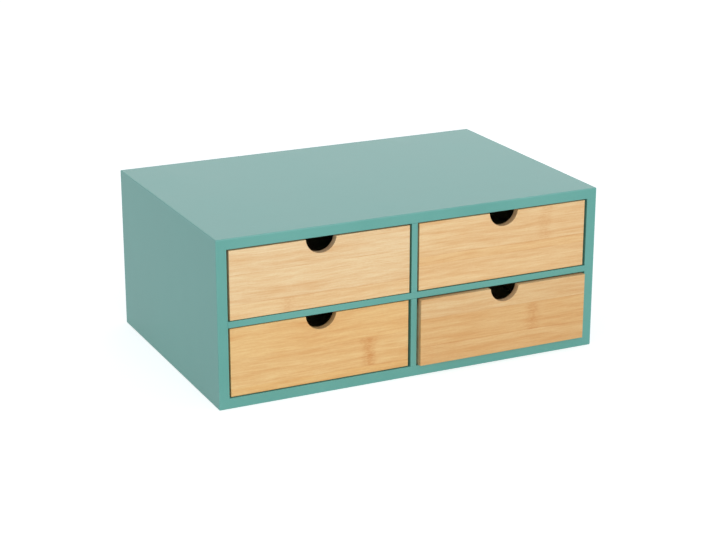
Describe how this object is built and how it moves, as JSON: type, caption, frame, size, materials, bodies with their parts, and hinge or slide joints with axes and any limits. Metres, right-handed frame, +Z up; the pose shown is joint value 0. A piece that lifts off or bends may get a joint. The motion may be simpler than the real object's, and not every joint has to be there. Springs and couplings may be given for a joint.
{
  "type": "desktop drawer organizer",
  "caption": "Low painted desktop box of bamboo-fronted drawers, side by side and stacked, each pulled open by a half-round finger notch.",
  "frame": {"origin": "middle of the carcass's footprint, on the surface that it stands on", "axes": "+X to the right along the width, +Y to the rear (the drawers open towards -Y), +Z up"},
  "size_m": [0.35, 0.234, 0.1435],
  "materials": {
    "painted_board": "fibreboard under satin paint, blue-green",
    "bamboo": "flat-pressed bamboo, sanded and clear-lacquered, matt",
    "drawer_wood": "pale solid wood, sanded, bare",
    "plywood": "thin pale plywood, bare",
    "brad_steel": "bright drawn wire"
  },
  "bodies": {
    "carcass": {"top_panel": "painted_board", "bottom_panel": "painted_board", "left_side_panel": "painted_board", "right_side_panel": "painted_board", "shelf": "painted_board", "centre_divider": "painted_board", "back_panel": "painted_board", "mitre_brads": "brad_steel", "back_brads": "brad_steel"},
    "upper_left_drawer": {"upper_left_front": "bamboo", "upper_left_left_wall": "drawer_wood", "upper_left_right_wall": "drawer_wood", "upper_left_rear_wall": "drawer_wood", "upper_left_tray": "plywood", "upper_left_brads": "brad_steel"},
    "upper_right_drawer": {"upper_right_front": "bamboo", "upper_right_left_wall": "drawer_wood", "upper_right_right_wall": "drawer_wood", "upper_right_rear_wall": "drawer_wood", "upper_right_tray": "plywood", "upper_right_brads": "brad_steel"},
    "lower_left_drawer": {"lower_left_front": "bamboo", "lower_left_left_wall": "drawer_wood", "lower_left_right_wall": "drawer_wood", "lower_left_rear_wall": "drawer_wood", "lower_left_tray": "plywood", "lower_left_brads": "brad_steel"},
    "lower_right_drawer": {"lower_right_front": "bamboo", "lower_right_left_wall": "drawer_wood", "lower_right_right_wall": "drawer_wood", "lower_right_rear_wall": "drawer_wood", "lower_right_tray": "plywood", "lower_right_brads": "brad_steel"}
  },
  "joints": [
    {"name": "upper_left_slide", "type": "slide", "parent": "carcass", "child": "upper_left_drawer", "axis": [0, -1, 0], "range_m": [-0.0013, 0.1787]},
    {"name": "upper_right_slide", "type": "slide", "parent": "carcass", "child": "upper_right_drawer", "axis": [0, -1, 0], "range_m": [-0.0004, 0.1796]},
    {"name": "lower_left_slide", "type": "slide", "parent": "carcass", "child": "lower_left_drawer", "axis": [0, -1, 0], "range_m": [0, 0.18]},
    {"name": "lower_right_slide", "type": "slide", "parent": "carcass", "child": "lower_right_drawer", "axis": [0, -1, 0], "range_m": [-0.0052, 0.1748]}
  ]
}
